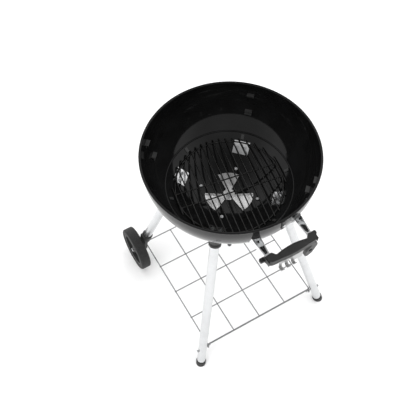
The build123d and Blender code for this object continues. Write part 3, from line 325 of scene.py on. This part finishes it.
SHELF_WIRE = 2.0 * MM
SHELF_HALF_X = 226.2 * MM
SHELF_HALF_Y = 248 * MM
SHELF_CELLS = 4
SHELF_CROSSING_HEIGHT = 92.25 * MM
REAR_CROSSING_HEIGHT = 95.8 * MM
WELD_SIZE = (1.25 * SHELF_WIRE, 1.25 * SHELF_WIRE, 0.75 * SHELF_WIRE)
REAR_WELD_SIZE = (1.25 * SHELF_WIRE, 1.2 * SHELF_WIRE, 0.7 * SHELF_WIRE)


def make_shelf_welds():
    """One flattened weld where each pair of shelf wires crosses."""
    shape = bmesh.new()
    step_x = 2 * SHELF_HALF_X / SHELF_CELLS
    step_y = 2 * SHELF_HALF_Y / SHELF_CELLS
    for column in range(SHELF_CELLS + 1):
        x = -SHELF_HALF_X + column * step_x
        for row in range(SHELF_CELLS):
            place = Vector((x, -SHELF_HALF_Y + row * step_y, SHELF_CROSSING_HEIGHT))
            add_nugget(shape, place, WELD_SIZE, 0.3 * column + 0.7 * row)
        rear = Vector((x, SHELF_HALF_Y - 0.3 * SHELF_WIRE, REAR_CROSSING_HEIGHT))
        add_nugget(shape, rear, REAR_WELD_SIZE, 0.5 * column)
    finish_piece("shelf_welds", shape, wire_plating, "frame")


GRATE_TURN = math.radians(-9.7)
GRATE_BAR_PAIRS = 9
GRATE_BAR_PITCH = 21.2 * MM
GRATE_RING_RADIUS = 178.7 * MM
GRATE_CROSS_OFFSET = 27 * MM
GRATE_WELD_HEIGHT = 681.9 * MM
GRATE_WELD_SIZE = (2.7 * MM, 3.0 * MM, 1.6 * MM)


def make_grate_welds():
    """Welds where the grate's bars cross its ring and its two cross-bars."""
    shape = bmesh.new()
    spin = Matrix.Rotation(GRATE_TURN, 3, "Z")
    for number in range(GRATE_BAR_PAIRS):
        x = (number + 0.5) * GRATE_BAR_PITCH
        on_ring = math.sqrt(max(0.0, GRATE_RING_RADIUS**2 - x**2))
        crossings = (-on_ring, -GRATE_CROSS_OFFSET, GRATE_CROSS_OFFSET, on_ring)
        for side in SIDES.values():
            for y in crossings:
                if on_ring > 0 and abs(y) <= on_ring:
                    place = spin @ Vector((side * x, y, 0))
                    place.z = GRATE_WELD_HEIGHT
                    add_nugget(shape, place, GRATE_WELD_SIZE, GRATE_TURN)
    finish_piece("grate_welds", shape, grate_steel, "charcoal_grate")


def add_ring(shape, centre, radius, width, thickness, segments=96):
    """A ring with a rounded section about the X axis, added to a bmesh."""
    rings = []
    section = 12
    for number in range(segments):
        angle = 2 * math.pi * number / segments
        points = []
        for step in range(section):
            around = 2 * math.pi * step / section
            out = radius + width * math.cos(around)
            points.append(
                shape.verts.new(
                    (
                        centre[0] + thickness * math.sin(around),
                        centre[1] + out * math.cos(angle),
                        centre[2] + out * math.sin(angle),
                    )
                )
            )
        rings.append(points)
    for number in range(segments):
        first, second = rings[number], rings[(number + 1) % segments]
        for step in range(section):
            after = (step + 1) % section
            shape.faces.new((first[step], first[after], second[after], second[step]))


WHEEL_OUTER_FACE = 288 * MM
LIP_RADIUS = 64.2 * MM
LIP_DEPTH = 3.6 * MM
LIP_SECTION = 1.5 * MM
SIDEWALL_RING_RADII = (69.5 * MM, 77.0 * MM)
SIDEWALL_RING_DEPTH = 0.75 * MM
SIDEWALL_RING_WIDTH = 1.0 * MM
SIDEWALL_RING_RISE = 0.7 * MM


def make_wheel_rims():
    """The thin lighter lip round each wheel's hub, and the raised rings on the tyre's side."""
    for side, sign in SIDES.items():
        low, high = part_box("wheel_hub_" + side)
        centre_y = (low.y + high.y) / 2
        centre_z = (low.z + high.z) / 2
        outer_face = sign * WHEEL_OUTER_FACE
        lip_centre = (outer_face - sign * LIP_DEPTH, centre_y, centre_z)
        shape = bmesh.new()
        add_ring(shape, lip_centre, LIP_RADIUS, LIP_SECTION, LIP_SECTION)
        finish_piece("wheel_lip_" + side, shape, hub_lip_plastic, side + "_wheel")
        ring_centre = (outer_face - sign * SIDEWALL_RING_DEPTH, centre_y, centre_z)
        shape = bmesh.new()
        for radius in SIDEWALL_RING_RADII:
            add_ring(shape, ring_centre, radius, SIDEWALL_RING_WIDTH, SIDEWALL_RING_RISE)
        finish_piece("wheel_sidewall_rings_" + side, shape, tyre, side + "_wheel")


make_shelf_welds()
make_grate_welds()
make_wheel_rims()


# ---- floor, light and camera ---------------------------------------------------------
FLOOR_HALF_WIDTH = 12.0
LIGHT_TARGET = Vector((0, 0, 0.6))
SENSOR_WIDTH = 36.0
LENS = 67.56
CAMERA_PLACE = (-0.7493, -1.1534, 2.8576)
CAMERA_DIRECTION = Vector((0.2551, 0.4405, -0.8607))
ROOM_LEVELS = [(0.0, 0.9), (0.62, 1.0), (0.82, 0.80), (0.93, 0.30), (1.0, 0.22)]
SCREEN_DIRECTION = (-0.40, -0.70, 0.59)
SCREEN_EDGE = (0.45, 0.90)
SCREEN_LEVEL = 0.62


def make_floor():
    mesh = bpy.data.meshes.new("studio_floor")
    half = FLOOR_HALF_WIDTH
    corners = [(-half, -half, 0), (half, -half, 0), (half, half, 0), (-half, half, 0)]
    mesh.from_pydata(corners, [], [(0, 1, 2, 3)])
    floor = bpy.data.objects.new("studio_floor", mesh)
    bpy.context.scene.collection.objects.link(floor)
    s = Shader("studio_floor")
    s.base(s.colours(s.noise(400, detail=2), [(0.3, grey(0.94)), (0.7, grey(0.96))]))
    s.rough(s.remap(s.noise(90, detail=2), 0.3, 0.7, 0.85, 0.95))
    mesh.materials.append(s.material)


def make_light(name, place, size, power):
    """A round soft light that lights surfaces but isn't mirrored in them."""
    data = bpy.data.lights.new(name, "AREA")
    data.shape = "DISK"
    data.size = size
    data.energy = power
    light = bpy.data.objects.new(name, data)
    light.location = place
    light.visible_glossy = False
    light.rotation_euler = (LIGHT_TARGET - Vector(place)).to_track_quat("-Z", "Y").to_euler()
    bpy.context.scene.collection.objects.link(light)


def make_camera():
    data = bpy.data.cameras.new("studio_camera")
    data.sensor_width = SENSOR_WIDTH
    data.lens = LENS
    camera = bpy.data.objects.new("studio_camera", data)
    camera.location = CAMERA_PLACE
    camera.rotation_euler = CAMERA_DIRECTION.to_track_quat("-Z", "Y").to_euler()
    bpy.context.scene.collection.objects.link(camera)
    bpy.context.scene.camera = camera


def make_world():
    """A pale room with white walls, a darker ceiling and a dim screen high behind the camera."""
    world = bpy.data.worlds.new("studio")
    world.use_nodes = True
    tree = world.node_tree
    background = tree.nodes["Background"]
    direction = tree.nodes.new("ShaderNodeTexCoord").outputs["Generated"]
    height = tree.nodes.new("ShaderNodeSeparateXYZ")
    tree.links.new(direction, height.inputs["Vector"])
    ramp = tree.nodes.new("ShaderNodeValToRGB")
    ramp.color_ramp.interpolation = "B_SPLINE"
    while len(ramp.color_ramp.elements) < len(ROOM_LEVELS):
        ramp.color_ramp.elements.new(0.5)
    for element, (position, level) in zip(ramp.color_ramp.elements, ROOM_LEVELS):
        element.position = position
        element.color = (level, level, level, 1.0)
    tree.links.new(height.outputs["Z"], ramp.inputs["Fac"])
    towards_screen = tree.nodes.new("ShaderNodeVectorMath")
    towards_screen.operation = "DOT_PRODUCT"
    towards_screen.inputs[1].default_value = SCREEN_DIRECTION
    tree.links.new(direction, towards_screen.inputs[0])
    screen = tree.nodes.new("ShaderNodeMapRange")
    screen.interpolation_type = "SMOOTHSTEP"
    screen.inputs["From Min"].default_value = SCREEN_EDGE[0]
    screen.inputs["From Max"].default_value = SCREEN_EDGE[1]
    screen.inputs["To Min"].default_value = 1.0
    screen.inputs["To Max"].default_value = SCREEN_LEVEL
    tree.links.new(towards_screen.outputs["Value"], screen.inputs["Value"])
    shaded = tree.nodes.new("ShaderNodeVectorMath")
    shaded.operation = "SCALE"
    tree.links.new(ramp.outputs["Color"], shaded.inputs["Vector"])
    tree.links.new(screen.outputs["Result"], shaded.inputs["Scale"])
    tree.links.new(shaded.outputs["Vector"], background.inputs["Color"])
    background.inputs["Strength"].default_value = 1.0
    bpy.context.scene.world = world


bpy.context.scene.view_settings.view_transform = "Standard"
make_floor()
make_world()
make_light("overhead_softbox", (0.3, 0.2, 4.2), 6.0, 205)
make_light("left_softbox", (-3.0, -1.0, 2.4), 1.8, 28)
make_camera()
